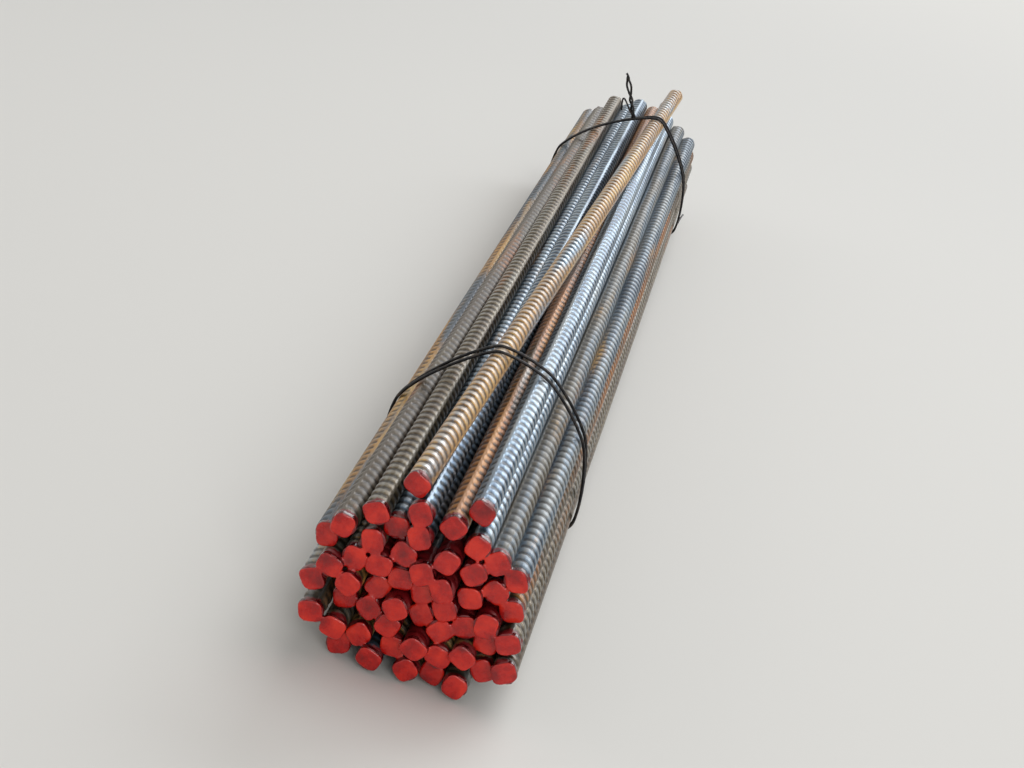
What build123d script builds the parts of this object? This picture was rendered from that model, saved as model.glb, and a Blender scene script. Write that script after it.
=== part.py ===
from build123d import *
import math
import os
import random

# A bundle of short reinforcing bars, bound by two doubled wire ties.
# Millimetres. +Z is up, the bars run along Y and their painted ends face -Y.
# The origin is the middle of the bundle's box, at the height of the floor.

# Bars: a No. 4 bar, cut to three feet
bar_count = 54
bar_length = 914.0
core_diameter = 12.4
seam_height = 0.36
seam_top_width = 1.6
seam_base_width = 3.4

# Sheared ends: the cut isn't square, and the bars don't end in one plane
shear_tilt = 5.0
painted_end_stagger = 5.0
far_end_stagger = 11.0

# How the bars are strewn, before they are drawn together
inner_bar_count = 21
seed_spacing = 9.0
heap_width_ratio = 1.15
bar_wander = 12.0

# How they lie in the bundle, looser at the painted end
bar_clearance = 0.1
floor_depth = 42.0
painted_end_width_ratio = 1.05
painted_end_height_ratio = 1.18
painted_end_stray = 5.0
askew_start = -15.0
askew_shift = 38.0

# Ties: annealed wire, twice round the bars, with its ends twisted together
wire_diameter = 2.0
wire_sides = 6
tie_clearance = 0.35
least_bend_angle = 1.5
most_kink_angle = 30.0
strand_gap = 0.3
lobe_overlap = 0.1
twist_pitch = 14.0
eye_radius = 3.2
eye_corner_count = 8
eye_tip_length = 5.0
eye_tip_width_ratio = 0.5

# A tie's place along the bars, and its twist's as a share of the way round, from the left side down
near_tie_setback = 188.0
near_tie_spread = 9.0
near_twist_share = 0.4
near_twist_length = 26.0
near_twist_laid_back = 80.0
far_tie_setback = 128.0
far_tie_spread = 7.0
far_twist_share = 0.77
far_twist_length = 28.0
far_twist_laid_back = 0.0

seam_reach = core_diameter / 2 + seam_height
bar_reach = math.hypot(seam_reach, seam_top_width / 2)
bar_pitch = 2 * bar_reach + bar_clearance
wire_radius = wire_diameter / 2
wire_flat_radius = wire_radius * math.cos(math.pi / wire_sides)
tie_reach = bar_reach + tie_clearance + wire_radius
pair_spacing = wire_diameter + strand_gap
knot_radius = wire_diameter - lobe_overlap / 2
golden_angle = math.pi * (3 - math.sqrt(5))

# Settling the bars
drawing_steps = 500
parting_steps = 900
first_pull_ratio = 0.02
sideways_pull_ratio = 0.7
settled_overlap = 0.01
end_margin_ratio = 0.02


def vary(trait, index):
    """A chance number from -1 to 1, always the same for one trait of one bar."""
    return random.Random(f"{trait} {index}").uniform(-1, 1)


def strewn_place(index):
    """Where the middle of a bar is strewn: a sunflower's seeds, spread sideways."""
    radius, angle = seed_spacing * math.sqrt(index + 0.5), index * golden_angle
    return heap_width_ratio * radius * math.cos(angle), radius * math.sin(angle)


def group_of(index):
    """The side of the bundle that a bar lies on, or its inside."""
    x, z = strewn_place(index)
    if index < inner_bar_count:
        return "inner_bars"
    if abs(x) > abs(z):
        return "right_side_bars" if x > 0 else "left_side_bars"
    return "upper_bars" if z > 0 else "bottom_bars"


def nearest_place(bar, other):
    """Where two straight bars come nearest, as a share of their length, and the way across there."""
    dx, dz = bar[0] - other[0], bar[1] - other[1]
    lean_x, lean_z = bar[2] - other[2] - dx, bar[3] - other[3] - dz
    lean = lean_x ** 2 + lean_z ** 2
    share = -(dx * lean_x + dz * lean_z) / lean if lean else 0.5
    share = min(1 + end_margin_ratio, max(-end_margin_ratio, share))
    return share, dx + share * lean_x, dz + share * lean_z


def push(bar, share, dx, dz):
    """Moves a bar by dx and dz at that share of its length, with the least turn."""
    front, back = 1 - share, share
    scale = 1 / (front ** 2 + back ** 2)
    bar[0] += dx * front * scale
    bar[1] += dz * front * scale
    bar[2] += dx * back * scale
    bar[3] += dz * back * scale


def push_apart(bars):
    """Parts each two bars that overlap, and gives the largest overlap that was met."""
    worst = 0.0
    for i, bar in enumerate(bars):
        for other in bars[:i]:
            share, dx, dz = nearest_place(bar, other)
            distance = math.hypot(dx, dz)
            if distance < bar_pitch:
                worst = max(worst, bar_pitch - distance)
                half = 0.5 * (bar_pitch - distance) / distance
                push(bar, share, dx * half, dz * half)
                push(other, share, -dx * half, -dz * half)
    return worst


def draw_in(bars, pull):
    """Draws the bars towards the middle, less sideways than up and down."""
    for bar in bars:
        for end in (0, 2):
            bar[end] *= 1 - pull * sideways_pull_ratio
            bar[end + 1] *= 1 - pull


def fan_out(bars):
    """Loosens the painted end, where no tie holds the bars."""
    for index, bar in enumerate(bars):
        bar[0] = bar[0] * painted_end_width_ratio + painted_end_stray * vary("sideways stray", index)
        bar[1] = bar[1] * painted_end_height_ratio + painted_end_stray * vary("upward stray", index)


def lift_to_floor(bars):
    """Keeps both ends of each bar above the floor."""
    for bar in bars:
        bar[1] = max(bar[1], -floor_depth)
        bar[3] = max(bar[3], -floor_depth)


def settle_bars():
    """Bars strewn in a heap, drawn together on a level floor, loosened at one end and parted until free.

    A bar is the x and z of its centre line at the painted end, then at the far end.
    """
    bars = []
    for index in range(bar_count - 1):
        x, z = strewn_place(index)
        dx, dz = bar_wander * vary("sideways lean", index), bar_wander * vary("upward lean", index)
        bars.append([x + dx, z + dz, x - dx, z - dz])
    for step in range(drawing_steps):
        draw_in(bars, first_pull_ratio * (1 - step / drawing_steps))
        push_apart(bars)
        lift_to_floor(bars)
    fan_out(bars)
    for step in range(parting_steps):
        worst = push_apart(bars)
        lift_to_floor(bars)
        if worst < settled_overlap:
            break
    print("bars parted in", step, "steps, to within", round(worst, 4), "mm")
    return bars


def lay_on_top(bars):
    """The last bar, thrown askew over the heap and let down, end by end, until it rests."""
    high = max(max(bar[1], bar[3]) for bar in bars) + 2 * bar_pitch
    top = [askew_start, high, askew_start + askew_shift, high]
    drop = bar_pitch / 2
    while drop > settled_overlap:
        moved = False
        for end in (1, 3):
            top[end] -= drop
            if any(math.hypot(*nearest_place(top, bar)[1:]) < bar_pitch for bar in bars):
                top[end] += drop
            else:
                moved = True
        if not moved:
            drop /= 2
    return top


def place_at(bar, y):
    """The x and z of a bar's centre line at y, measured from the middle of the bars."""
    share = y / bar_length + 0.5
    return bar[0] + share * (bar[2] - bar[0]), bar[1] + share * (bar[3] - bar[1])


def bar_section():
    """A round core with the two raised seams that the rolls leave along a bar."""
    half_base = seam_base_width / 2
    root = math.sqrt((core_diameter / 2) ** 2 - half_base ** 2)
    seam = Polygon(
        (-half_base, root),
        (half_base, root),
        (seam_top_width / 2, seam_reach),
        (-seam_top_width / 2, seam_reach),
        align=None,
    )
    return Circle(core_diameter / 2) + seam + Rot(0, 0, 180) * seam


def make_bar(index, bar):
    """One bar: the rolled section along a straight line, cut off by a shear at both ends."""
    start = Vector(bar[0], -bar_length / 2, bar[1])
    along = (Vector(bar[2], bar_length / 2, bar[3]) - start).normalized()
    setback = painted_end_stagger * vary("painted end", index)
    cut_length = bar_length + far_end_stagger * vary("far end", index) - setback
    section = Rot(0, 0, math.degrees(index * golden_angle)) * bar_section()
    blank = Pos(0, 0, -core_diameter) * extrude(section, amount=cut_length + 2 * core_diameter)
    for height, end, kept in ((0, "painted", Keep.TOP), (cut_length, "far", Keep.BOTTOM)):
        up, across = vary(end + " cut, up", index), vary(end + " cut, across", index)
        tilt = Rot(shear_tilt * up, shear_tilt * across, 0)
        blank = split(blank, bisect_by=Plane(Pos(0, 0, height) * tilt), keep=kept)
    return Plane(origin=start + along * setback, z_dir=along) * blank


def bend(a, b, c):
    """How far the way from a through b to c bends to the left, in degrees."""
    first, second = (b[0] - a[0], b[1] - a[1]), (c[0] - b[0], c[1] - b[1])
    cross = first[0] * second[1] - first[1] * second[0]
    return math.degrees(math.atan2(cross, first[0] * second[0] + first[1] * second[1]))


def hull(points):
    """The corners of the tightest loop round some points, turning left from the leftmost."""
    corners = []
    for order in (1, -1):
        side = []
        for point in sorted(points)[::order]:
            while len(side) > 1 and bend(side[-2], side[-1], point) <= least_bend_angle:
                side.pop()
            side.append(point)
        corners += side[:-1]
    return corners


def loop_round(centres):
    """A wire's middle line drawn tight round bars: kinked at each outer one, straight between them."""
    corners = hull(centres)
    kinks = []
    for before, here, after in zip(corners[-1:] + corners, corners, corners[1:] + corners[:1]):
        turn = bend(before, here, after)
        kink_count = math.ceil(turn / most_kink_angle)
        half_kink = turn / kink_count / 2
        outward = Vector(here[1] - before[1], before[0] - here[0]).normalized()
        reach = tie_reach / math.cos(math.radians(half_kink))
        for i in range(kink_count):
            kinks.append(Vector(*here) + outward.rotate(Axis.Z, half_kink * (2 * i + 1)) * reach)
    return Polyline((kinks[-1] + kinks[0]) / 2, *kinks, close=True).wire()


def tie_foot(bars, y, share):
    """Where the twist rises, a share of the way round the bars at y, and the way out from there."""
    loop = loop_round([place_at(bar, y) for bar in bars])
    place, way = loop @ share, loop % share
    return Vector(place.X, y, place.Y), Vector(way.Y, 0, -way.X)


def make_strand(bars, foot, out, spread, side):
    """One turn of wire, drawn tight.

    The two turns lie side by side under the twist, and lean apart on the way round.
    """
    depth = max(out.dot(foot - Vector(x, foot.Y, z)) for x, z in (place_at(bar, foot.Y) for bar in bars))
    lean = side * (spread - pair_spacing) / 2 / depth
    start = foot + Vector(0, side * pair_spacing / 2, 0)
    across = Vector(-out.Z, 0, out.X)
    turn_plane = Plane(origin=start, x_dir=across, z_dir=across.cross(Vector(0, lean, 0) - out))
    centres = []
    for bar in bars:
        x, z = place_at(bar, start.Y)
        crossing = start.Y + lean * out.dot(start - Vector(x, start.Y, z))
        x, z = place_at(bar, crossing)
        local = turn_plane.to_local_coords(Vector(x, crossing, z))
        centres.append((local.X, local.Y))
    path = turn_plane * loop_round(centres)
    section_plane = Plane(origin=path @ 0, x_dir=turn_plane.z_dir, z_dir=path % 0)
    section = section_plane * RegularPolygon(wire_radius, wire_sides)
    return sweep(section, path=path, transition=Transition.RIGHT)


def make_twist(length):
    """The ends of the wire, twisted together upwards and ending in an eye with a short tip."""
    wire = RegularPolygon(wire_radius, wire_sides, rotation=180 / wire_sides)
    lobe = wire_flat_radius - lobe_overlap / 2
    section = Pos(lobe, 0) * wire + Pos(-lobe, 0) * wire
    stem = Solid.extrude_linear_with_rotation(
        section.face().outer_wire(), (0, 0, 0), (0, 0, length), 360 * length / twist_pitch
    )
    ring = Rot(90, 0, 0) * RegularPolygon(eye_radius, eye_corner_count).wire()
    ring_start = 0.5 / eye_corner_count
    ring_plane = Plane(origin=ring @ ring_start, z_dir=ring % ring_start)
    eye = sweep(ring_plane * wire, path=ring, transition=Transition.RIGHT)
    eye = Pos(0, 0, length + eye_radius - wire_radius) * eye
    tip_start = Pos(0, 0, length + 2 * eye_radius - wire_radius)
    point = Pos(0, 0, eye_tip_length) * scale(wire, eye_tip_width_ratio)
    tip = tip_start * loft([wire, point])
    return stem + eye + tip


def make_tie(bars, y, spread, twist_share, twist_length, laid_back):
    """Two strands round the bars, held by a knot and a twist that stands up or lies along the bars."""
    foot, out = tie_foot(bars, y, twist_share)
    strands = [make_strand(bars, foot, out, spread, side) for side in (-1, 1)]
    knot_middle = foot + out * (knot_radius - wire_radius)
    knot_plane = Plane(origin=knot_middle, x_dir=out, z_dir=Vector(0, 1, 0))
    knot = knot_plane * extrude(RegularPolygon(knot_radius, wire_sides), amount=pair_spacing, both=True)
    angle = math.radians(laid_back)
    back = Vector(0, 1, 0)
    stem_plane = Plane(
        origin=knot_middle,
        x_dir=back * math.cos(angle) - out * math.sin(angle),
        z_dir=out * math.cos(angle) + back * math.sin(angle),
    )
    return strands[0] + strands[1] + knot + stem_plane * make_twist(twist_length)


def main():
    bars = settle_bars()
    bars.append(lay_on_top(bars))
    groups = {}
    for index, bar in enumerate(bars):
        group = "askew_top_bar" if bar is bars[-1] else group_of(index)
        groups.setdefault(group, []).append(make_bar(index, bar))
    near_y = near_tie_setback - bar_length / 2
    far_y = bar_length / 2 - far_tie_setback
    groups["near_tie"] = [make_tie(
        bars, near_y, near_tie_spread, near_twist_share, near_twist_length, near_twist_laid_back)]
    groups["far_tie"] = [make_tie(
        bars, far_y, far_tie_spread, far_twist_share, far_twist_length, far_twist_laid_back)]

    box = Compound([solid for group in groups.values() for solid in group]).bounding_box()
    to_origin = Pos(-box.center().X, -box.center().Y, -box.min.Z)
    os.makedirs("parts", exist_ok=True)
    for name, solids in groups.items():
        export_step(to_origin * Compound(solids), f"parts/{name}.step")
        print(name, len(solids))


main()
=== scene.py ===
# %% [markdown]
# # A bundle of rebar, dressed for its portrait
#
# The CAD model holds the bundle's structure: fifty-four straight bars with their two lengthwise
# seams, and two doubled wire ties. This script adds what the rolls, the shear and the paint leave
# on the real bars, rounds and twists the wire, and sets the light and the camera. It reads the
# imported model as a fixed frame, and changes none of it.

# %% Load the frame
import math

import bpy
import numpy as np
from mathutils import Matrix, Vector


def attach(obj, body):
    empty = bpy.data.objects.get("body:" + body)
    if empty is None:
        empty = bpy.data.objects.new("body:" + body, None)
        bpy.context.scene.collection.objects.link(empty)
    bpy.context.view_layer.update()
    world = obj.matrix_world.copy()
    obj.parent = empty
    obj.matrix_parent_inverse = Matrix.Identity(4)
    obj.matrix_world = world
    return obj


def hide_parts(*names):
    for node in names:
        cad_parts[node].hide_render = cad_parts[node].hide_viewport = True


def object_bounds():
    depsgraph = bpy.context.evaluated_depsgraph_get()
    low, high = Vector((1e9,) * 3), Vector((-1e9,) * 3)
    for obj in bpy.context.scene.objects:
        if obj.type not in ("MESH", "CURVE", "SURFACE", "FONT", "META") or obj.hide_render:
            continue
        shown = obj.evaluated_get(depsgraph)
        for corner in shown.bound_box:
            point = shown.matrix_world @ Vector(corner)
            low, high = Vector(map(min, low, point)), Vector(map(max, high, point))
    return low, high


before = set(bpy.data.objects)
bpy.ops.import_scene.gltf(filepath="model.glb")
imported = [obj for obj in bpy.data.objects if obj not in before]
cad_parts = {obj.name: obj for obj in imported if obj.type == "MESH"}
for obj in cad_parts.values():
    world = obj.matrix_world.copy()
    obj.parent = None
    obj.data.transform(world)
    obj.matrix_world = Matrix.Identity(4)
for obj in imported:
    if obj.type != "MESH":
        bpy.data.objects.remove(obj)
cad_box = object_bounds()
MM = 0.001
BAR_NODES = [
    "inner_bars", "bottom_bars", "left_side_bars", "right_side_bars", "upper_bars", "askew_top_bar"]
print("nodes", sorted(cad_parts))


# %% [markdown]
# ## Measure the bars
#
# Each bar has to lie exactly on its solid, so its place is measured and not typed. A node's mesh
# holds several bars as loose triangles. Corners that share a place are merged by number, triangles
# that share a corner are gathered into one bar, and the ring of corners at each end gives the
# bar's line, its turn and its cut.

# %% Gather the corners of each bar
SAME_PLACE = 0.001 * MM


def loose_parts(node):
    """The corner points of each separate solid in a CAD node."""
    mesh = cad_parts[node].data
    points = np.array([v.co for v in mesh.vertices], float)
    triangles = np.array([t.vertices for t in mesh.polygons], int)
    steps = np.round(points / SAME_PLACE).astype(int)
    places, same = np.unique(steps, axis=0, return_inverse=True)
    corners = same.reshape(-1)[triangles]
    label = np.arange(len(places))
    while True:
        lowest = label[corners].min(axis=1)
        fresh = label.copy()
        for k in range(3):
            np.minimum.at(fresh, corners[:, k], lowest)
        if (fresh == label).all():
            break
        label = fresh
    return [places[label == name] * SAME_PLACE for name in np.unique(label)]


solids = {node: loose_parts(node) for node in BAR_NODES}
for node in BAR_NODES:
    print(node, len(solids[node]), "solids,", sum(map(len, solids[node])), "corners")


# %% Measure each bar
# Corners that reach within this of the farthest one are on top of a seam
SEAM_BAND = 0.02 * MM


def measure_bar(corners):
    """A bar's two ends, the square direction of each cut, and the direction of its seam."""
    middle = corners[:, 1].mean()
    rings = [corners[corners[:, 1] < middle], corners[corners[:, 1] >= middle]]
    ends = [ring.mean(axis=0) for ring in rings]
    along = (ends[1] - ends[0]) / np.linalg.norm(ends[1] - ends[0])
    cuts = []
    for ring, end, way in zip(rings, ends, (-1, 1)):
        normal = np.linalg.svd(ring - end)[2][2]
        cuts.append(normal * way * np.sign(normal @ along))
    offsets = rings[0] - ends[0]
    offsets = offsets - np.outer(offsets @ along, along)
    reach = np.linalg.norm(offsets, axis=1)
    seam = offsets[reach > reach.max() - SEAM_BAND]
    seam = seam[seam @ seam[0] > 0].mean(axis=0)
    return {"ends": ends, "along": along, "cuts": cuts, "seam": seam / np.linalg.norm(seam)}


bars = {node: [measure_bar(corners) for corners in solids[node]] for node in BAR_NODES}
all_bars = [bar for node in BAR_NODES for bar in bars[node]]
for node in BAR_NODES:
    print(node, len(bars[node]), "bars, first", np.round(bars[node][0]["ends"][0] / MM, 2))


# %% [markdown]
# ## Find the bars that show
#
# Ribs on a bar that nobody sees only make the file heavy. So at five places along each bar,
# straight ways out are tried in a circle, and a way is free if no other bar's centre line comes
# near it. A bar with a few free ways shows, and gets ribs all along.

# %% Find the bars that show
WAYS_OUT = 36
FREE_WAYS = 3
NEAR_WAY = 5.0 * MM
STATIONS = (0.08, 0.3, 0.5, 0.7, 0.92)


def middles_at(share):
    """The x and z of every bar's centre line at a share of its length."""
    starts, ends = (np.array([bar["ends"][k] for bar in all_bars]) for k in (0, 1))
    return (starts + share * (ends - starts))[:, [0, 2]]


ways = np.arange(WAYS_OUT) * 2 * math.pi / WAYS_OUT
ways = np.stack([np.cos(ways), np.sin(ways)])
for bar in all_bars:
    bar["shows"] = False
for share in STATIONS:
    middles = middles_at(share)
    for here, bar in zip(middles, all_bars):
        offsets = np.array([place for place in middles if (place != here).any()]) - here
        ahead = offsets @ ways
        beside = abs(offsets @ np.stack([-ways[1], ways[0]]))
        free = ~((ahead > 0) & (beside < NEAR_WAY)).any(axis=0)
        bar["shows"] |= bool(free.sum() >= FREE_WAYS)
for node in BAR_NODES:
    print(node, sum(bar["shows"] for bar in bars[node]), "of", len(bars[node]), "show")


# %% [markdown]
# ## The rolled bar
#
# A ribbed bar is rolled between two grooved rolls. Each roll presses crescent ribs into its half
# of the bar, which run out into the two seams where the rolls meet. The ribs could be a bump in
# the material, but they show on the bar's outline, so they are modelled. One rib's stretch of bar
# is made from a cylinder: cuts with bisect give the rib its flanks and the seam its feet, and
# scaling the crest's rings more along one axis than the other makes a rib that is high in the
# middle and lower at the seams. An array repeats it, and a slant turns the ribs.

# %% Sizes of the rolled section
# Tops and feet are widths: a rib's along the bar, a seam's across it. The slant is how far a rib
# leans along the bar for each step across, and the last share is what is left of its height where
# it meets the seam.
CORE_RADIUS = 6.2 * MM
SIDES = 16
RIB_SPACING = 8.0 * MM
RIB_HEIGHT = 0.85 * MM
RIB_TOP = 3.0 * MM
RIB_FOOT = 5.8 * MM
SEAM_HEIGHT = 0.6 * MM
SEAM_TOP = 1.6 * MM
SEAM_FOOT = 3.4 * MM
RIB_SLANT = 0.45
RIB_LEFT_AT_SEAM = 0.6
print("over the ribs", round(2 * (CORE_RADIUS + RIB_HEIGHT) / MM, 1), "mm")


# %% [markdown]
# ### Working as by hand
#
# Blender's operators act on what is selected, and the import leaves the whole frame selected. So
# everything is deselected first, and corners, edges or faces are then chosen by where they lie.
# These helpers do the choosing, so that each step below reads like the same step in the viewport.

# %% Helpers that pick, read and join
def deselect_all():
    if bpy.context.object and bpy.context.object.mode != "OBJECT":
        bpy.ops.object.mode_set(mode="OBJECT")
    bpy.ops.object.select_all(action="DESELECT")


def pick(obj):
    """Makes one object the only selected and the active one."""
    deselect_all()
    obj.select_set(True)
    bpy.context.view_layer.objects.active = obj


def corners_of(obj):
    """An object's vertex places as an array."""
    places = np.empty(len(obj.data.vertices) * 3, np.float32)
    obj.data.vertices.foreach_get("co", places)
    return places.reshape(-1, 3).astype(float)


def triangle_count(obj):
    return sum(len(face.vertices) - 2 for face in obj.data.polygons)


def join(pieces, name):
    """Joins some pieces into one with a name, and picks it."""
    deselect_all()
    for piece in pieces:
        piece.select_set(True)
    bpy.context.view_layer.objects.active = pieces[0]
    bpy.ops.object.join()
    pieces[0].name = pieces[0].data.name = name
    pick(pieces[0])
    return pieces[0]


# %% Helpers that work in edit mode
CUT_SLACK = 1e-7


def select(obj, kind, chosen):
    """Enters edit mode with only the chosen corners, edges or faces selected."""
    pick(obj)
    bpy.ops.object.mode_set(mode="EDIT")
    bpy.ops.mesh.select_mode(type=kind)
    bpy.ops.mesh.select_all(action="DESELECT")
    bpy.ops.object.mode_set(mode="OBJECT")
    mesh = obj.data
    parts = {"VERT": mesh.vertices, "EDGE": mesh.edges, "FACE": mesh.polygons}[kind]
    parts.foreach_set("select", np.asarray(chosen, bool))
    bpy.ops.object.mode_set(mode="EDIT")


def cut_round(obj, place, normal, **keep):
    """Cuts the whole mesh by a plane. keep says which side goes and whether the cut is filled."""
    pick(obj)
    bpy.ops.object.mode_set(mode="EDIT")
    bpy.ops.mesh.select_all(action="SELECT")
    bpy.ops.mesh.bisect(plane_co=place, plane_no=normal, threshold=CUT_SLACK, **keep)
    bpy.ops.object.mode_set(mode="OBJECT")


# %% One rib's stretch of bar
# Corners are chosen up to a line just past the one that they lie on
JUST_PAST = 1.02


def make_stretch(ribbed=True):
    """A bar's surface from one rib's foot to the next, along Z, with the seams on the X axis."""
    deselect_all()
    bpy.ops.mesh.primitive_cylinder_add(
        vertices=SIDES, radius=CORE_RADIUS, depth=RIB_SPACING, end_fill_type="NOTHING",
        location=(0, 0, RIB_SPACING / 2 - RIB_FOOT / 2), rotation=(0, 0, math.pi / SIDES),
    )
    stretch = bpy.context.object
    bpy.ops.object.transform_apply()
    for side in (-1, 1):
        cut_round(stretch, (0, side * SEAM_FOOT / 2, 0), (0, 1, 0))
    if ribbed:
        for height in (-RIB_TOP / 2, RIB_TOP / 2, RIB_FOOT / 2):
            cut_round(stretch, (0, 0, height), (0, 0, 1))
    top = CORE_RADIUS * math.sin(math.pi / SIDES)
    select(stretch, "VERT", abs(corners_of(stretch)[:, 1]) < JUST_PAST * top)
    reach = (CORE_RADIUS + SEAM_HEIGHT) / (CORE_RADIUS * math.cos(math.pi / SIDES))
    bpy.ops.transform.resize(value=(reach, SEAM_TOP / 2 / top, 1), center_override=(0, 0, 0))
    if ribbed:
        places = abs(corners_of(stretch))
        crest = places[:, 2] < JUST_PAST * RIB_TOP / 2
        off_seam = places[:, 1] > SEAM_FOOT / 2 / JUST_PAST
        select(stretch, "VERT", crest & off_seam)
        rise = RIB_HEIGHT / CORE_RADIUS
        bpy.ops.transform.resize(
            value=(1 + RIB_LEFT_AT_SEAM * rise, 1 + rise, 1), center_override=(0, 0, 0))
    bpy.ops.object.mode_set(mode="OBJECT")
    return stretch


# %% Lay stretches end to end and lean their ribs
WELD = 0.05 * MM


def repeat(stretch, count):
    """The stretch laid end to end, welded."""
    pick(stretch)
    rows = stretch.modifiers.new("rows", "ARRAY")
    rows.count = count
    rows.use_relative_offset = False
    rows.use_constant_offset = True
    rows.constant_offset_displace = (0, 0, RIB_SPACING)
    rows.use_merge_vertices = True
    rows.merge_threshold = WELD
    bpy.ops.object.modifier_apply(modifier="rows")
    return stretch


def slant(blank):
    """Leans the ribs: every point slides along the bar by a share of its place across it."""
    lean = Matrix.Identity(4)
    lean[2][0] = RIB_SLANT
    blank.data.transform(lean)
    blank.data.update()


# %% The blank that the bars are cut from
# Ribs beyond the longest bar, which the slides and the cuts use up
SPARE_ROWS = 5

longest = max(np.linalg.norm(bar["ends"][1] - bar["ends"][0]) for bar in all_bars)
ROWS = math.ceil(longest / RIB_SPACING) + SPARE_ROWS
blank = repeat(make_stretch(), ROWS)
blank.name = "blank"
slant(blank)
print("blank", len(blank.data.polygons), "faces,", round(blank.dimensions.z / MM), "mm long")


# %% [markdown]
# ### Bars that the others hide
#
# The bars inside the bundle show only their ends. They keep their ribs there, and a smooth
# stretch runs between, so that the whole bundle stays light enough to render and export.

# %% The plain-bellied blank
END_ROWS = 9


def make_plain_blank():
    """A bar with ribs near its ends alone, the same length as the blank."""
    pieces = []
    for first in (0, ROWS - END_ROWS):
        end = repeat(make_stretch(), END_ROWS)
        end.data.transform(Matrix.Translation((0, 0, first * RIB_SPACING)))
        pieces.append(end)
    belly = make_stretch(ribbed=False)
    foot = corners_of(belly)[:, 2].min()
    belly.data.transform(Matrix.Translation((0, 0, -foot)))
    belly.data.transform(Matrix.Scale(ROWS - 2 * END_ROWS, 4, (0, 0, 1)))
    belly.data.transform(Matrix.Translation((0, 0, foot + END_ROWS * RIB_SPACING)))
    plain = join(pieces + [belly], "plain_blank")
    bpy.ops.object.mode_set(mode="EDIT")
    bpy.ops.mesh.select_all(action="SELECT")
    bpy.ops.mesh.remove_doubles(threshold=WELD)
    bpy.ops.object.mode_set(mode="OBJECT")
    slant(plain)
    return plain


plain_blank = make_plain_blank()
print("plain blank", len(plain_blank.data.polygons), "faces")


# %% [markdown]
# ## Cut the bars
#
# Every bar is a copy of the blank with a mesh of its own, laid on its solid's line with its seam
# turned the way that the solid's seam is, and slid along a little so that no two bars' ribs stand
# in step. The shear's cuts are bisect planes with their holes filled, and an inset that rises a
# little gives the rolled-over edge. What the material needs to know of each bar is written on its
# points.

# %% The finish of each bar, with painted light in its brightness
# Across the top, from the left: x in mm, then tone (0 blue-grey, 1 brown), rust and brightness.
# The brightness is partly the bar's own and partly painted highlight and shade: higher on the bars
# that catch the light on top, lower on the flanks that turn from it
TOP_FINISHES_AND_LIGHT = [
    (-48, 0.95, 0.15, 0.20), (-36, 0.85, 0.10, 0.26), (-25, 0.82, 0.18, 0.42),
    (-13, 0.06, 0.02, 0.85), (-2, 0.15, 0.02, 0.80), (10, 0.66, 0.80, 0.55),
    (22, 0.12, 0.05, 0.78), (35, 0.42, 0.15, 0.22), (46, 0.18, 0.10, 0.38),
    (58, 0.80, 0.60, 0.15),
]
# The askew bar's full brightness is partly a painted highlight
ASKEW_FINISH_AND_LIGHT = (0.30, 0.70, 1.0)
# The most of each that chance gives a bar lower down
MOST_BY_CHANCE = (1, 0.8, 0.7)
chance = np.random.default_rng(12)
half_height = cad_box[0][2] + 0.5 * (cad_box[1][2] - cad_box[0][2])


def finish_and_light_of(bar):
    """Tone, rust and brightness, partly painted light: chosen for bars on top that show, else by
    chance.
    """
    if bar is bars["askew_top_bar"][0]:
        return ASKEW_FINISH_AND_LIGHT
    x, _, z = (bar["ends"][0] + bar["ends"][1]) / 2
    if bar["shows"] and z > half_height:
        nearest = min(TOP_FINISHES_AND_LIGHT, key=lambda row: abs(row[0] * MM - x))
        return nearest[1:]
    return chance.random(3) * MOST_BY_CHANCE


# %% Lay and cut one bar
SHEAR_EDGE = 0.7 * MM
SHEAR_DOME = 0.4 * MM
MOST_SLIDE = 0.45 * RIB_SPACING
SQUARE_ENOUGH = 0.99


def lay_bar(source, bar):
    """A copy of a blank on the bar's line, cut at both ends."""
    piece = bpy.data.objects.new("bar", source.data.copy())
    bpy.context.scene.collection.objects.link(piece)
    along, seam = Vector(bar["along"]), Vector(bar["seam"])
    turn = Matrix((seam, along.cross(seam), along)).transposed().to_4x4()
    spare = source.dimensions.z - np.linalg.norm(bar["ends"][1] - bar["ends"][0])
    slide = Matrix.Translation((0, 0, -(spare / 2 + chance.uniform(-MOST_SLIDE, MOST_SLIDE))))
    piece.data.transform(Matrix.Translation(bar["ends"][0]) @ turn @ slide)
    for end, cut in zip(bar["ends"], bar["cuts"]):
        cut_round(piece, end - cut * SHEAR_DOME, cut, use_fill=True, clear_outer=True)
        normals = np.array([face.normal for face in piece.data.polygons])
        centres = np.array([face.center for face in piece.data.polygons])
        at_cut = abs((centres - end) @ cut) < 2 * SHEAR_DOME
        select(piece, "FACE", (normals @ cut > SQUARE_ENOUGH) & at_cut)
        bpy.ops.mesh.inset(thickness=SHEAR_EDGE, depth=SHEAR_DOME, use_even_offset=False)
        bpy.ops.object.mode_set(mode="OBJECT")
    return piece


# %% [markdown]
# ### What the material reads on a bar
#
# One material serves all the bars, so what sets them apart is stored on their points: each
# point's place in its bar's own frame, how far it lies past the edge of the paint, how high it
# stands on a rib, and the bar's finish, whose brightness is partly painted light. Patterns that
# read these stay on a bar as it lies askew.

# %% Write attributes on a bar's points
# The least and the most that the paint runs along a bar: little on those that show, deep into the
# gaps on the others
SHORT_PAINT = (2.5 * MM, 5.0 * MM)
DEEP_PAINT = (12 * MM, 24 * MM)


def write_attribute(piece, name, values, kind="FLOAT"):
    """Stores one value for each vertex."""
    layer = piece.data.attributes.new(name, kind, "POINT")
    field = "value" if kind == "FLOAT" else "vector"
    layer.data.foreach_set(field, np.asarray(values, np.float32).reshape(-1))


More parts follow.
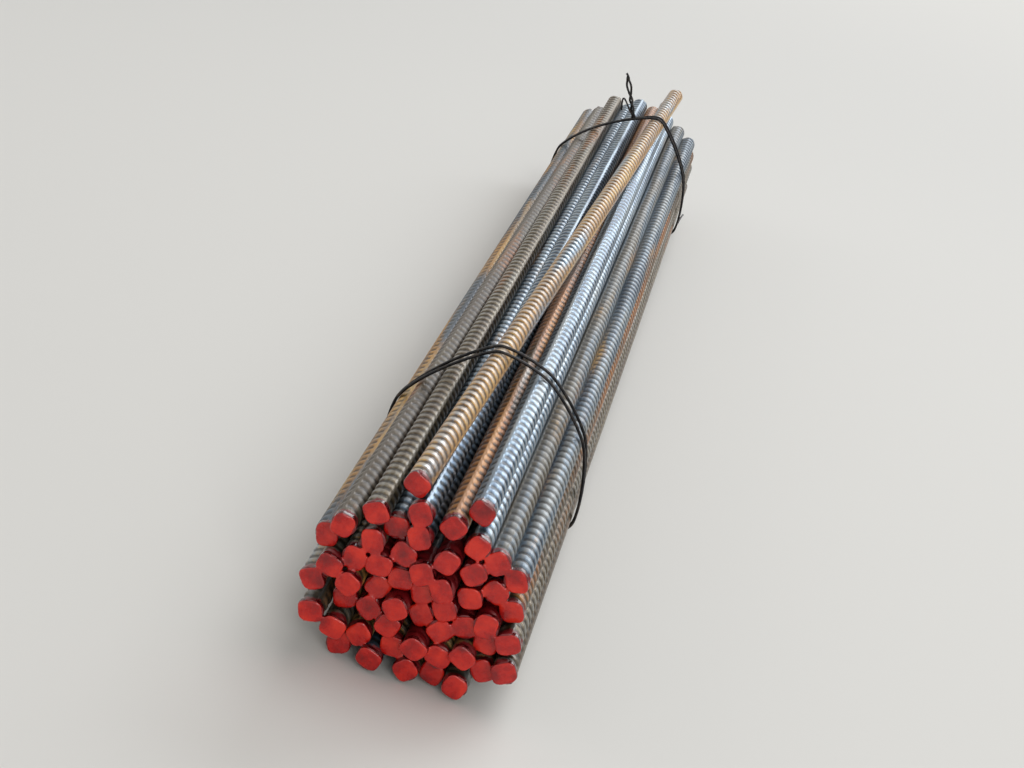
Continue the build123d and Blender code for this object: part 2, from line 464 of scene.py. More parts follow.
def mark_bar(piece, bar):
    """Writes each point's place in its bar's frame, its height, and the finish with painted light.
    """
    offsets = corners_of(piece) - bar["ends"][0]
    distance = offsets @ bar["along"]
    offsets = offsets - np.outer(distance, bar["along"])
    reach = np.linalg.norm(offsets, axis=1)
    across = np.cross(bar["along"], bar["seam"])
    own = np.stack([offsets @ bar["seam"], offsets @ across, distance], axis=1)
    write_attribute(piece, "bar_place", own + chance.random(3), "FLOAT_VECTOR")
    depth = chance.uniform(*(SHORT_PAINT if bar["shows"] else DEEP_PAINT))
    write_attribute(piece, "past_paint", distance - depth)
    write_attribute(piece, "crest", np.clip((reach - CORE_RADIUS) / RIB_HEIGHT, 0, 1))
    look = np.tile(finish_and_light_of(bar), (len(distance), 1))
    write_attribute(piece, "bar_look", look, "FLOAT_VECTOR")


# %% Make the bars of each node and join them
ROUND_UP_TO = math.radians(27)


def make_bars(node):
    """All bars of one node, made, marked and joined as one piece that stands for it."""
    pieces = []
    for bar in bars[node]:
        piece = lay_bar(blank if bar["shows"] else plain_blank, bar)
        mark_bar(piece, bar)
        pieces.append(piece)
    group = join(pieces, "ribbed_" + node)
    bpy.ops.object.shade_smooth_by_angle(angle=ROUND_UP_TO)
    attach(group, "root")
    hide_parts(node)
    print(group.name, len(pieces), "bars,", triangle_count(group), "triangles")
    return group


groups = [make_bars(node) for node in BAR_NODES]
for source in (blank, plain_blank):
    bpy.data.objects.remove(source)


# %% [markdown]
# ## The painted ends
#
# The shear squashes each end to a rounded square, and the paint that marks the grade runs over it
# and bridges the narrow gaps to its neighbours. One end is a cube with its long edges bevelled
# round. A copy is laid on each cut, and a voxel remesh pours all of them together, so that ends
# that touch fuse as wet paint does.

# %% Shape one painted end
PAINT_SIDE = 12.7 * MM
PAINT_DEPTH = 4.0 * MM
PAINT_PROUD = 0.5 * MM
PAINT_CORNER = 4.0 * MM
CORNER_STEPS = 4
PAINT_LIP = 0.6 * MM
LIP_STEPS = 2


def edge_heights(obj):
    """The height of both corners of each edge."""
    pairs = np.array([edge.vertices[:] for edge in obj.data.edges])
    return corners_of(obj)[pairs, 2]


def make_paint_block():
    """A squashed bar end: a rounded square whose face, towards +Z, has a soft lip."""
    deselect_all()
    bpy.ops.mesh.primitive_cube_add(size=1, location=(0, 0, 0))
    block = bpy.context.object
    block.data.transform(Matrix.Diagonal((PAINT_SIDE, PAINT_SIDE, PAINT_DEPTH, 1)))
    block.data.transform(Matrix.Translation((0, 0, PAINT_PROUD - PAINT_DEPTH / 2)))
    heights = edge_heights(block)
    select(block, "EDGE", abs(heights[:, 0] - heights[:, 1]) > PAINT_DEPTH / 2)
    bpy.ops.mesh.bevel(offset=PAINT_CORNER, segments=CORNER_STEPS, affect="EDGES")
    bpy.ops.object.mode_set(mode="OBJECT")
    select(block, "EDGE", edge_heights(block).min(axis=1) > 0)
    bpy.ops.mesh.bevel(offset=PAINT_LIP, segments=LIP_STEPS, affect="EDGES")
    bpy.ops.object.mode_set(mode="OBJECT")
    return block


block = make_paint_block()
print("one painted end", len(block.data.polygons), "faces")


# %% Lay a painted end on every cut
PAINT_SQUASH = 0.08
PAINT_SKEW = 0.10


def lay_paint(block, bar):
    """A copy of the block on one bar's painted cut, turned and squashed by chance."""
    piece = bpy.data.objects.new("painted", block.data.copy())
    bpy.context.scene.collection.objects.link(piece)
    facing = Vector(bar["cuts"][0]).to_track_quat("Z", "Y").to_matrix().to_4x4()
    squash = 1 + PAINT_SQUASH * chance.uniform(-1, 1)
    shape = Matrix.Diagonal((squash, 1 / squash, 1, 1))
    shape[0][1] = PAINT_SKEW * chance.uniform(-1, 1)
    turn = Matrix.Rotation(chance.uniform(0, math.pi / 2), 4, "Z")
    piece.data.transform(Matrix.Translation(bar["ends"][0]) @ facing @ turn @ shape)
    return piece


end_paint = join([lay_paint(block, bar) for bar in all_bars], "end_paint")
bpy.data.objects.remove(block)
print(end_paint.name, len(all_bars), "ends")

# %% Pour the painted ends together
PAINT_VOXEL = 0.6 * MM
SOFTENING = 2

pour = end_paint.modifiers.new("pour", "REMESH")
pour.mode = "VOXEL"
pour.voxel_size = PAINT_VOXEL
soften = end_paint.modifiers.new("soften", "SMOOTH")
soften.iterations = SOFTENING
for name in ("pour", "soften"):
    bpy.ops.object.modifier_apply(modifier=name)
bpy.ops.object.shade_smooth()
front = min(bar["ends"][0][1] for bar in all_bars)
# Recess and flank steer the enamel's painted shade: depth behind the foremost end, and sideways
# facing
write_attribute(end_paint, "recess", corners_of(end_paint)[:, 1] - front)
write_attribute(end_paint, "flank", [1 + vertex.normal.y for vertex in end_paint.data.vertices])
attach(end_paint, "root")
print(end_paint.name, triangle_count(end_paint), "triangles")


# %% [markdown]
# ## The wire ties
#
# Each tie is a doubled soft wire, drawn tight and twisted together with pliers. A strand's line
# could be drawn by hand, but it has to touch the bars wherever they lie, so it is worked out from
# them. The two strands lie together where the tie bites and wander apart over the top. They are
# curves with a round bevel, turned to meshes.

# %% Draw a wire
WIRE_RADIUS = 0.95 * MM
FREE_END_RADIUS = 0.8 * WIRE_RADIUS


def draw_wire(name, points, closed=False, smooth=False, radius=WIRE_RADIUS):
    """A round wire along some points, as a mesh."""
    curve = bpy.data.curves.new(name, "CURVE")
    curve.dimensions = "3D"
    curve.bevel_depth = radius
    curve.bevel_resolution = 3
    curve.resolution_u = 4
    curve.use_fill_caps = True
    spline = curve.splines.new("NURBS" if smooth else "POLY")
    spline.points.add(len(points) - 1)
    for point, place in zip(spline.points, points):
        point.co = (*place, 1)
    spline.use_cyclic_u = closed
    if smooth:
        spline.order_u = 3
        spline.use_endpoint_u = not closed
    piece = bpy.data.objects.new(name, curve)
    bpy.context.scene.collection.objects.link(piece)
    pick(piece)
    bpy.ops.object.convert(target="MESH")
    return bpy.context.object


# %% Find the line that a tight wire takes round the bars
WIRE_REST = CORE_RADIUS + RIB_HEIGHT + WIRE_RADIUS
RING_POINTS = 180
# How many degrees of the ring a stiff wire rounds off, and how much of the lack is let out
STIFFNESS = 7
LET_OUT = 0.75


def ring_line(y):
    """A tight line round all bars at y: its points in x and z, and the way outwards at each.

    How far the bars reach each way gives the tightest line. Averaging that reach over nearby ways
    rounds the line as a stiff wire does, and it's let out by what it then lacks. The floor presses
    it flat underneath.
    """
    places = np.array([
        bar["ends"][0] + bar["along"] * (y - bar["ends"][0][1]) / bar["along"][1]
        for bar in all_bars])[:, [0, 2]]
    angles = np.arange(RING_POINTS) * 2 * math.pi / RING_POINTS
    outward = np.stack([np.cos(angles), np.sin(angles)], axis=1)
    reach = (places @ outward.T).max(axis=0)
    nearby = np.arange(-3 * STIFFNESS, 3 * STIFFNESS + 1)
    weights = np.exp(-0.5 * (nearby * 360 / RING_POINTS / STIFFNESS) ** 2)
    eased = sum(w * np.roll(reach, k) for k, w in zip(nearby, weights)) / weights.sum()
    eased += (reach - eased).max() * LET_OUT
    slope = (np.roll(eased, -1) - np.roll(eased, 1)) * RING_POINTS / (4 * math.pi)
    ahead = np.stack([-outward[:, 1], outward[:, 0]], axis=1)
    line = outward * (eased + WIRE_REST)[:, None] + ahead * slope[:, None]
    line[:, 1] = np.maximum(line[:, 1], WIRE_RADIUS)
    return line, outward


# %% Two strands round the bars
# How far apart the strands run where they lie together
TOGETHER = 2.1 * MM
# For each tie: how far apart they run over the top, and the bearings in degrees, from straight up
# and rightwards, between which they part and close again
PARTINGS = {
    "near_tie": (9.5 * MM, (-90, -25, 60, 115)),
    "far_tie": (8.0 * MM, (-20, 35, 65, 105)),
}


def smooth_step(value, low, high):
    share = np.clip((value - low) / (high - low), 0, 1)
    return share * share * (3 - 2 * share)


def draw_strands(node, tie_y):
    """The two strands of one tie, the ring that they follow, and its ways outwards."""
    ring, outward = ring_line(tie_y)
    middle = (ring.min(axis=0) + ring.max(axis=0)) / 2
    bearing = np.degrees(np.arctan2(ring[:, 0] - middle[0], ring[:, 1] - middle[1]))
    width, (opens, open_at, closes, closed_at) = PARTINGS[node]
    opened = smooth_step(bearing, opens, open_at)
    parted = opened * (1 - smooth_step(bearing, closes, closed_at))
    gap = TOGETHER + (width - TOGETHER) * parted
    strands = []
    for side in (-1, 1):
        points = np.stack([ring[:, 0], tie_y + side * gap / 2, ring[:, 1]], axis=1)
        strands.append(draw_wire("strand", points, closed=True))
    return strands, ring, outward


# %% [markdown]
# ### The twist
#
# Pliers grip the two wire ends and turn them round each other. The stem is a tight double helix.
# Above it the wires leave an eye, where the pliers held them, and then two short tips. Each of
# the two wires is one smooth curve through all three, half a turn from the other.

# %% Sizes of the twist
TWIST_PITCH = 15 * MM
TWIST_STEP = math.radians(45)
TWIST_REACH = 1.15 * MM
EYE_REACH = 3.0 * MM
EYE_SPAN = 11 * MM
EYE_SHARES = np.linspace(0.15, 1, 8)
TIP_LENGTH = 6 * MM
SHORTER_TIP = 0.25 * TIP_LENGTH
# How far up the tip, and how far from the middle as a share of the stem's reach
TIP_POINTS = ((0.4, 0.9), (1.0, 0.6))
LEAD = 9 * MM
LEAD_SHARES = (1, 0.5, 0.2)


# %% Lay one of the two twisted wires
def twist_points(foot, along, out, up, length, turn_start):
    """One of the two twisted wires: in along the ring, up in a helix, round the eye, to the tip."""
    side = math.cos(turn_start)
    beside = np.cross(up, along)
    start = foot + out * WIRE_RADIUS
    points = [foot + along * side * LEAD * share for share in LEAD_SHARES]
    stem = length - EYE_SPAN - TIP_LENGTH
    step = TWIST_PITCH * TWIST_STEP / (2 * math.pi)
    for k in range(int(stem / step) + 1):
        angle = turn_start + k * TWIST_STEP
        way = along * math.cos(angle) + beside * math.sin(angle)
        points.append(start + up * k * step + way * TWIST_REACH)
    for share in EYE_SHARES:
        reach = TWIST_REACH + (EYE_REACH - TWIST_REACH) * math.sin(math.pi * share)
        points.append(start + up * (stem + EYE_SPAN * share) + way * reach)
    for share, reach in TIP_POINTS:
        angle += math.pi / 2
        way = along * math.cos(angle) + beside * math.sin(angle)
        height = length - TIP_LENGTH * (1 - share) - (SHORTER_TIP if side < 0 else 0)
        points.append(start + up * height + way * TWIST_REACH * reach)
    return points


# %% Find where a tie and its twist stand
# Corners of the solid that are this far off the ring, or this far beside it, are the twist's
STANDS_CLEAR = 6 * MM
BESIDE_RING = 9 * MM
LEFT_SHARE = 0.1


def find_y(node):
    """Where along the bars the tie goes round: the middle of its leftmost stretch."""
    points = corners_of(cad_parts[node])
    left = points[points[:, 0] < np.quantile(points[:, 0], LEFT_SHARE)]
    return (left[:, 1].min() + left[:, 1].max()) / 2


def find_foot(node, tie_y, ring):
    """The number of the ring's point where the solid's twist stands."""
    points = corners_of(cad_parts[node])
    flat = points[:, [0, 2]]
    clear = np.linalg.norm(flat[:, None] - ring[None], axis=2).min(axis=1)
    away = (clear > STANDS_CLEAR) | (abs(points[:, 1] - tie_y) > BESIDE_RING)
    return int(np.argmin(np.linalg.norm(ring - flat[away].mean(axis=0), axis=1)))


for node in PARTINGS:
    print(node, "goes round at y", round(find_y(node) / MM, 1))


# %% [markdown]
# ### Put each tie together
#
# The near tie's twist is laid back along the bars. The far one stands up, with one free end
# curled beside it and another bent back along the bars at the right side. Strands, twist and free
# ends are joined, so that one piece stands for each tie.

# %% Put each tie together
ROUND_WIRE_UP_TO = math.radians(50)
# Free ends: where they start, counted in the ring's points from the twist, less than 0 being to
# its right. Then steps in mm along the ring to the left, along the bars and outwards.
CURLED_END = (0, [(0, 0, 1), (3, 1, 8), (5, 2, 17), (7, 2, 19), (9, 2, 13), (10, 3, 8)])
BENT_BACK_END = (-58, [(0, -2, 0), (0, 3, 0.5), (1, 8, 1), (2, 16, 1.5), (2, 24, 2.5)])


def ring_place(ring, outward, y, k):
    """A point of the ring, the way out from it, and the way along it to the left."""
    out = np.array([outward[k][0], 0, outward[k][1]])
    return np.array([ring[k][0], y, ring[k][1]]), out, np.array([-out[2], 0, out[0]])


def make_tie(node, length, laid_back, free_ends):
    """One tie, from the twist's length, how far it is laid back, and its free ends."""
    tie_y = find_y(node)
    pieces, ring, outward = draw_strands(node, tie_y)
    first = find_foot(node, tie_y, ring)
    foot, out, along = ring_place(ring, outward, tie_y, first)
    back = np.array([0, 1, 0])
    up = out * math.cos(laid_back) + back * math.sin(laid_back)
    for turn_start in (0, math.pi):
        line = twist_points(foot, along, out, up, length, turn_start)
        pieces.append(draw_wire("twist", line, smooth=True))
    for steps, line in free_ends:
        root, out, along = ring_place(ring, outward, tie_y, (first + steps) % RING_POINTS)
        line = [root + along * a * MM + back * b * MM + out * c * MM for a, b, c in line]
        pieces.append(draw_wire("free_end", line, smooth=True, radius=FREE_END_RADIUS))
    tie = join(pieces, "wire_" + node)
    bpy.ops.object.shade_smooth_by_angle(angle=ROUND_WIRE_UP_TO)
    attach(tie, "root")
    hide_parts(node)
    print(tie.name, "at y", round(tie_y / MM, 1), "twist at", np.round(foot / MM, 1),
          triangle_count(tie), "triangles")
    return tie


ties = [
    make_tie("near_tie", 36 * MM, math.radians(80), []),
    make_tie("far_tie", 39 * MM, 0.0, [CURLED_END, BENT_BACK_END]),
]


# %% [markdown]
# ## Materials
#
# Every material is a tree of nodes on Blender's Principled shader. Colours are written as the sRGB
# hex codes that a screen shows. Blender works in linear light, so one function turns them. A second
# one adds a node, sets it and links it in one line, which keeps a whole tree readable from top to
# bottom.

# %% Helpers for materials
def linear(code):
    """An sRGB hex colour as Blender's linear numbers."""
    values = [int(code[i:i + 2], 16) / 255 for i in (1, 3, 5)]
    return [v / 12.92 if v < 0.04045 else ((v + 0.055) / 1.055) ** 2.4 for v in values] + [1.0]


def add(tree, kind, inputs=(), output=0, stops=(), **settings):
    """Adds a node and gives one of its outputs.

    inputs are in the node's own order, or by name or number: a socket is joined, anything else is
    set. stops are a ramp's places and hex colours, and settings are the node's other properties.
    """
    node = tree.nodes.new("ShaderNode" + kind)
    for key, value in settings.items():
        setattr(node, key, value)
    for key, value in inputs.items() if isinstance(inputs, dict) else enumerate(inputs):
        if isinstance(value, bpy.types.NodeSocket):
            tree.links.new(value, node.inputs[key])
        else:
            node.inputs[key].default_value = value
    for k, (place, code) in enumerate(stops):
        if k == len(node.color_ramp.elements):
            node.color_ramp.elements.new(place)
        node.color_ramp.elements[k].position = place
        node.color_ramp.elements[k].color = linear(code)
    return node.outputs[output]


def new_material(name):
    """A fresh material, its node tree and its Principled shader."""
    material = bpy.data.materials.new(name)
    material.use_nodes = True
    return material, material.node_tree, material.node_tree.nodes["Principled BSDF"]


def dress(piece, material):
    piece.data.materials.clear()
    piece.data.materials.append(material)


SMOOTH = {"interpolation_type": "SMOOTHSTEP"}
COLOURS = {"data_type": "RGBA", "output": 2}
PLUS, MINUS, TIMES = {"operation": "ADD"}, {"operation": "SUBTRACT"}, {"operation": "MULTIPLY"}
TIMES_PLUS = {"operation": "MULTIPLY_ADD"}


# %% [markdown]
# ### Hot rolled bar steel
#
# The bars come black-hot from the rolls and cool in air, so they wear a skin of mill scale:
# blue-grey where it is tight, grey-brown where it has dulled, with rust in ochre and orange where
# it has flaked. To the eye this is a half-metallic skin with a waxy gloss, streaked along the bar.
# The rib crests are lighter, partly rubbed bright and partly a painted highlight, and the valleys
# between them darker, partly dust and partly painted shade. Noise in each bar's own frame draws
# streaks 5 mm wide and 25 times as long, rust patches 16 mm wide and specks of 1.6 mm, and the
# bar's tone, rust and brightness steer all three. The brightness is partly the bar's own and
# partly painted highlight and shade.

# %% What is stored on the bars
steel, tree, shader = new_material("hot_rolled_steel")
bar_place = add(tree, "Attribute", output="Vector", attribute_name="bar_place")
crest = add(tree, "Attribute", output="Fac", attribute_name="crest")
past_paint = add(tree, "Attribute", output="Fac", attribute_name="past_paint")
bar_look = add(tree, "Attribute", output="Vector", attribute_name="bar_look")
# The third value, the brightness, is partly the bar's own and partly painted highlight and shade
tone, rusty, brightness_and_light = add(tree, "SeparateXYZ", [bar_look]).node.outputs
print("stored values of", steel.name, len(tree.nodes), "nodes")

# %% The patterns on the bars
# Width, how many times as long, and how fine the detail is
BLOTCHES = [(5 * MM, 25, 4), (16 * MM, 9, 5), (1.6 * MM, 1, 3)]
ROUGH_EDGES = 0.55

blotches = []
for width, stretch, detail in BLOTCHES:
    laid = add(tree, "Mapping", {"Vector": bar_place, "Scale": (1, 1, 1 / stretch)})
    noise = {"Vector": laid, "Scale": 1 / width, "Detail": detail, "Roughness": ROUGH_EDGES}
    blotches.append(add(tree, "TexNoise", noise))
streaks, patches, specks = blotches
print("patterns of", steel.name, len(tree.nodes), "nodes")

# %% Mill scale
shift = add(tree, "MapRange", [streaks, 0.35, 0.65, -0.22, 0.22], **SMOOTH)
scale_colour = add(tree, "ValToRGB", [add(tree, "Math", [tone, shift], **PLUS)], stops=[
    (0.0, "#5A7088"), (0.22, "#8FA6BA"), (0.45, "#A8A8A3"), (0.7, "#8C7957"), (1.0, "#6E5636")])
# Each bar's brightness sets how light its mill scale is, partly its own and partly painted light
lightness_and_light = add(tree, "MapRange", [brightness_and_light, 0, 1, 0.22, 0.80])
scale_colour = add(tree, "VectorMath", {0: scale_colour, 3: lightness_and_light}, operation="SCALE")
print("with mill scale", len(tree.nodes), "nodes")

# %% Rust over the scale: ochre on blue-grey bars, orange on brown ones
ochre = add(
    tree, "ValToRGB", [streaks], stops=[(0.3, "#74501C"), (0.5, "#B88432"), (0.7, "#D2AA60")])
orange = add(
    tree, "ValToRGB", [streaks], stops=[(0.3, "#55300F"), (0.5, "#9A5C1E"), (0.7, "#BE8238")])
redder = add(tree, "MapRange", [tone, 0.35, 0.7, 0, 1], **SMOOTH)
rust_colour = add(tree, "Mix", {0: redder, 6: ochre, 7: orange}, **COLOURS)
level = add(tree, "Math", [rusty, 0.42, patches], **TIMES_PLUS)
level = add(tree, "Math", [specks, 0.12, level], **TIMES_PLUS)
rust = add(tree, "MapRange", [level, 0.69, 0.87, 0, 1], **SMOOTH)
cover = add(tree, "Math", [rust, 0.9], **TIMES)
colour = add(tree, "Mix", {0: cover, 6: scale_colour, 7: rust_colour}, **COLOURS)
print("with rust", len(tree.nodes), "nodes")

# %% Rubbed crests with painted highlight, dusty valleys with painted shade, and the paint's edge
# Crests lighten towards #B9BEC0, more on brighter bars: partly rubbed scale, partly painted
# highlight
rubbed_and_highlit = add(tree, "MapRange", [crest, 0.55, 1.0, 0, 1], **SMOOTH)
rubbed_and_highlit = add(tree, "Math", [rubbed_and_highlit, add(tree, "Math", [brightness_and_light, 0.5], **TIMES)], **TIMES)
colour = add(tree, "Mix", {0: rubbed_and_highlit, 6: colour, 7: linear("#B9BEC0")}, **COLOURS)
# Valleys darken towards #25201C: partly dust, partly painted shade between the ribs
valley_dust_and_shade = add(tree, "MapRange", [crest, 0.6, 0.0, 0, 0.8], **SMOOTH)
colour = add(tree, "Mix", {0: valley_dust_and_shade, 6: colour, 7: linear("#25201C")}, **COLOURS)
ragged = add(tree, "MapRange", [specks, 0, 1, -1.5 * MM, 3.5 * MM])
bare = add(tree, "Math", [past_paint, ragged], **MINUS)
bare = add(tree, "MapRange", [bare, -0.6 * MM, 0.6 * MM, 0, 1], **SMOOTH)
# Past its edge the enamel on a bar's side is dark red: the paint's colour, darkened as painted
# shade
colour = add(tree, "Mix", {0: bare, 6: linear("#6E0A10"), 7: colour}, **COLOURS)
print("with wear and paint", len(tree.nodes), "nodes")

# %% How metallic and how rough
dull = add(tree, "MapRange", [brightness_and_light, 0.7, 0.1, 0, 1], **SMOOTH)
metal = add(tree, "MapRange", [rust, 0, 1, 0.88, 0.45], **SMOOTH)
metal = add(
    tree, "Math", [metal, add(tree, "MapRange", [dull, 0, 1, 1.0, 0.35], **SMOOTH)], **TIMES)
metal = add(tree, "Math", [metal, bare], **TIMES)
matt = add(tree, "MapRange", [rust, 0, 1, 0.30, 0.40], **SMOOTH)
matt = add(tree, "Math", [specks, 0.14, matt], **TIMES_PLUS)
matt = add(tree, "Math", [dull, 0.14, matt], **TIMES_PLUS)
pitted = add(tree, "Bump", {"Height": specks, "Strength": 0.35, "Distance": 0.15 * MM})
for name, socket in (
        ("Base Color", colour), ("Metallic", metal), ("Roughness", matt), ("Normal", pitted)):
    tree.links.new(socket, shader.inputs[name])
shader.inputs["Coat Weight"].default_value = 0.3
shader.inputs["Coat Roughness"].default_value = 0.28
for group in groups:
    dress(group, steel)
print(steel.name, len(tree.nodes), "nodes")


# %% [markdown]
# ### Red marking enamel
#
# The mill sprays the ends of a bundle with quick-drying enamel to show the grade. It is a strong,
# slightly uneven red with a wet gloss, thick on the faces. Its flanks and the ends that lie deep
# between others are painted darker as shade. A clear coat over a rougher base gives the gloss, a
# cloud of 14 mm the uneven cover, and a bump of 2.2 mm the runs and orange peel.

# %% Red marking enamel
enamel, tree, shader = new_material("marking_enamel")
place = add(tree, "TexCoord", output="Object")
cloud = add(tree, "TexNoise", {
    "Vector": place, "Scale": 1 / (14 * MM), "Detail": 4, "Roughness": ROUGH_EDGES})
runs = add(tree, "TexNoise", {
    "Vector": place, "Scale": 1 / (2.2 * MM), "Detail": 2, "Roughness": ROUGH_EDGES})
colour = add(
    tree, "ValToRGB", [cloud], stops=[(0.34, "#84080C"), (0.5, "#BA140C"), (0.64, "#D82A16")])
print("the red of", enamel.name, len(tree.nodes), "nodes")

# %% Painted shade on the enamel: darker where it lies deep between ends and on its flanks
recess = add(tree, "Attribute", output="Fac", attribute_name="recess")
recess_shade = add(tree, "MapRange", [recess, 7 * MM, 18 * MM, 0, 1], **SMOOTH)
colour = add(tree, "Mix", {0: recess_shade, 6: colour, 7: linear("#6E0A14")}, **COLOURS)
# The flanks, turned away from the cut, get painted shade
flank = add(tree, "Attribute", output="Fac", attribute_name="flank")
flank_shade = add(tree, "MapRange", [flank, 0.35, 0.85, 0, 1], **SMOOTH)
colour = add(tree, "Mix", {0: flank_shade, 6: colour, 7: linear("#4A060B")}, **COLOURS)
uneven = add(tree, "MapRange", [cloud, 0.4, 0.65, 0.22, 0.4], **SMOOTH)
relief = add(tree, "Bump", {"Height": runs, "Strength": 0.7, "Distance": 0.6 * MM})
for name, socket in (("Base Color", colour), ("Roughness", uneven), ("Normal", relief)):
    tree.links.new(socket, shader.inputs[name])
shader.inputs["Specular IOR Level"].default_value = 0.25
shader.inputs["Coat Weight"].default_value = 0.6
shader.inputs["Coat Roughness"].default_value = 0.06
dress(end_paint, enamel)
print(enamel.name, len(tree.nodes), "nodes")


# %% [markdown]
# ### Black annealed wire
#
# Tie wire is drawn steel, softened in a furnace, which leaves it black and a little oily. It reads
# as a dark metal with a soft sheen and a trace of brown. Real soot is too fine to show, so it is
# drawn as a noise of 3 mm, which varies the colour, the gloss and a faint bump.

# %% Black annealed wire
wire, tree, shader = new_material("annealed_wire")
place = add(tree, "TexCoord", output="Object")
soot = add(tree, "TexNoise", {
    "Vector": place, "Scale": 1 / (3 * MM), "Detail": 4, "Roughness": ROUGH_EDGES})
colour = add(
    tree, "ValToRGB", [soot], stops=[(0.35, "#17171A"), (0.55, "#2C2B2C"), (0.7, "#4A4038")])
oily = add(tree, "MapRange", [soot, 0.35, 0.7, 0.3, 0.55], **SMOOTH)
relief = add(tree, "Bump", {"Height": soot, "Strength": 0.3, "Distance": 0.1 * MM})
for name, socket in (("Base Color", colour), ("Roughness", oily), ("Normal", relief)):
    tree.links.new(socket, shader.inputs[name])
shader.inputs["Metallic"].default_value = 0.7
for tie in ties:
    dress(tie, wire)
print(wire.name, len(tree.nodes), "nodes")


# %% [markdown]
# ## Floor
#
# The bundle lies on a pale matt floor, which takes its shadow. A big plane would do, but its far
# edge would draw a horizon. So away from the bundle the floor fades into the plain tone of the
# backdrop, for the eye and for reflections only, and goes on lighting the bars as a floor does.

# %% Floor
FLOOR_SIZE = 80
FADE_FROM, FADE_TO = 0.8, 2.8
BACKDROP = "#E6E5E1"


def seen_or_mirrored(tree):
    """1 for rays that show a surface to the eye or in a reflection, 0 for those that light."""
    rays = add(tree, "LightPath").node.outputs
    return add(tree, "Math", [rays["Is Camera Ray"], rays["Is Glossy Ray"]], operation="MAXIMUM")


floor_paint, tree, shader = new_material("pale_floor")
shader.inputs["Base Color"].default_value = linear("#D9D7D2")
shader.inputs["Roughness"].default_value = 0.8
place = add(tree, "TexCoord", output="Object")
distance = add(tree, "VectorMath", [place], output="Value", operation="LENGTH")
far = add(tree, "MapRange", [distance, FADE_FROM, FADE_TO, 0, 1], **SMOOTH)
far = add(tree, "Math", [far, seen_or_mirrored(tree)], **TIMES)
glow = add(tree, "Emission", {"Color": linear(BACKDROP)})
surface = add(tree, "MixShader", [far, shader.outputs[0], glow])
tree.links.new(surface, tree.nodes["Material Output"].inputs["Surface"])

deselect_all()
bpy.ops.mesh.primitive_plane_add(size=FLOOR_SIZE, location=(0, 0, 0))
floor = bpy.context.object
floor.name = "floor"
dress(floor, floor_paint)
print(floor.name, FLOOR_SIZE, "m wide")


# %% [markdown]
# ## Camera
#
# The portrait is taken from where the picture was, which the bundle itself tells: the bars meet in
# a vanishing point, and the painted ends stand in one plane. That gives how far the camera looks
# down, and how far it is turned to the left of the bars. The middle of the painted end then stands
# a known depth in front of it. A longer lens that turns towards the bundle fills the frame.

# %% Camera
PICTURE = (1024, 768)
FOCAL_PIXELS = 826.0
PITCH = math.radians(34.6)
HEADING = math.radians(32.7)
PAINTED_END_PIXEL = (872, 355)
PAINTED_END_DEPTH = 0.945
AIM_PIXEL = (918, 262)
ENLARGEMENT = 2.15
SENSOR_WIDTH = 36
NEAREST_SEEN = 0.01


def camera_axes():
    """The picture's right, up and forward in the bundle's frame."""
    ahead = Vector((-math.sin(HEADING), math.cos(HEADING), 0))
    right = Vector((math.cos(HEADING), math.sin(HEADING), 0))
    rise = Vector((0, 0, 1))
    up = ahead * math.sin(PITCH) + rise * math.cos(PITCH)
    return right, up, ahead * math.cos(PITCH) - rise * math.sin(PITCH)


def ray(pixel):
    """The direction in which a pixel of the picture looks, one unit deep."""
    right, up, forward = camera_axes()
    x = (pixel[0] - PICTURE[0] / 2) / FOCAL_PIXELS
    y = (PICTURE[1] / 2 - pixel[1]) / FOCAL_PIXELS
    return right * x + up * y + forward


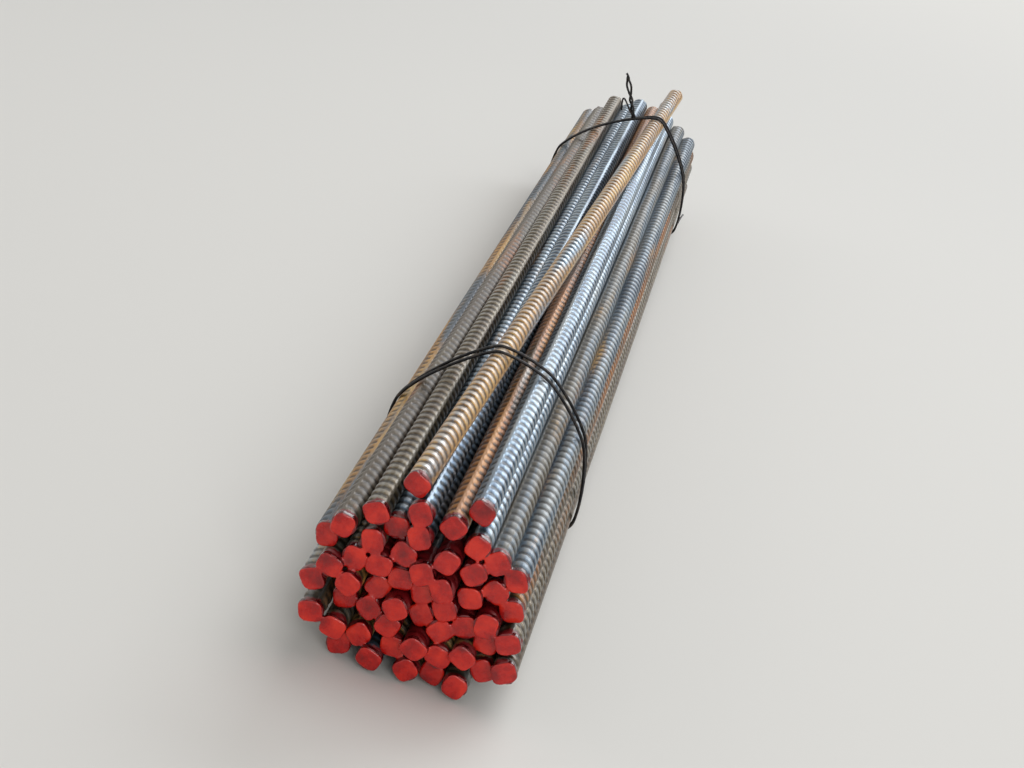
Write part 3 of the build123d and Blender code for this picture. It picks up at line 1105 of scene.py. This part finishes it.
fronts = np.array([bar["ends"][0] for bar in all_bars])
painted_end = Vector((fronts.min(axis=0) + fronts.max(axis=0)) / 2)
eye = painted_end - ray(PAINTED_END_PIXEL) * PAINTED_END_DEPTH
aim = ray(AIM_PIXEL).normalized()
side = aim.cross(camera_axes()[1]).normalized()
turn = Matrix((side, side.cross(aim), -aim)).transposed().to_4x4()
bpy.ops.object.camera_add()
camera = bpy.context.object
camera.matrix_world = Matrix.Translation(eye) @ turn
camera.data.sensor_width = SENSOR_WIDTH
lens = ENLARGEMENT * FOCAL_PIXELS * SENSOR_WIDTH / PICTURE[0] * ray(AIM_PIXEL).length
camera.data.lens = lens
camera.data.clip_start = NEAREST_SEEN
bpy.context.scene.camera = camera
print("camera at", np.round(eye, 3), "lens", round(camera.data.lens, 1))


# %% [markdown]
# ## Light
#
# Daylight comes over the bars from behind, and rakes along them so that every rib throws a small
# shadow. One wide lamp stands for that window. A softer one overhead and two weak fills keep the
# painted ends and the left flank from going black, and the world lights the rest evenly.

# %% Lamps
def soft_box(name, place, target, size, power, colour="#FFFFFF"):
    """A rectangular lamp that faces a point."""
    bpy.ops.object.light_add(type="AREA", location=place)
    lamp = bpy.context.object
    lamp.name = name
    lamp.data.shape = "RECTANGLE"
    lamp.data.size, lamp.data.size_y = size
    lamp.data.energy = power
    lamp.data.color = linear(colour)[:3]
    facing = (Vector(target) - Vector(place)).to_track_quat("-Z", "Y")
    lamp.rotation_euler = facing.to_euler()
    print("lamp", name, power, "W")


soft_box("back_window", (1.6, 4.2, 2.9), (0, 0, 0), (4.5, 2.3), 148, "#F6FAFF")
soft_box("overhead", (0.4, 0.2, 1.9), (0, 0, 0), (1.5, 1.2), 14)
soft_box("front_fill", (0.6, -1.9, 0.9), (0, -0.3, 0.05), (0.9, 0.8), 10.5)
soft_box("left_fill", (-1.7, -0.2, 0.9), (0, 0, 0.05), (0.9, 0.9), 3)

# %% The world: soft light from all sides, and the plain backdrop for the eye
SKY_LIGHT = 0.32

world = bpy.data.worlds.new("studio")
bpy.context.scene.world = world
world.use_nodes = True
tree = world.node_tree
sky = add(tree, "Background", {"Color": linear("#FFFFFF"), "Strength": SKY_LIGHT})
plain = add(tree, "Background", {"Color": linear(BACKDROP)})
surface = add(tree, "MixShader", [seen_or_mirrored(tree), sky, plain])
tree.links.new(surface, tree.nodes["World Output"].inputs["Surface"])
bpy.context.scene.view_settings.view_transform = "Standard"
print("world", world.name, "at", SKY_LIGHT)
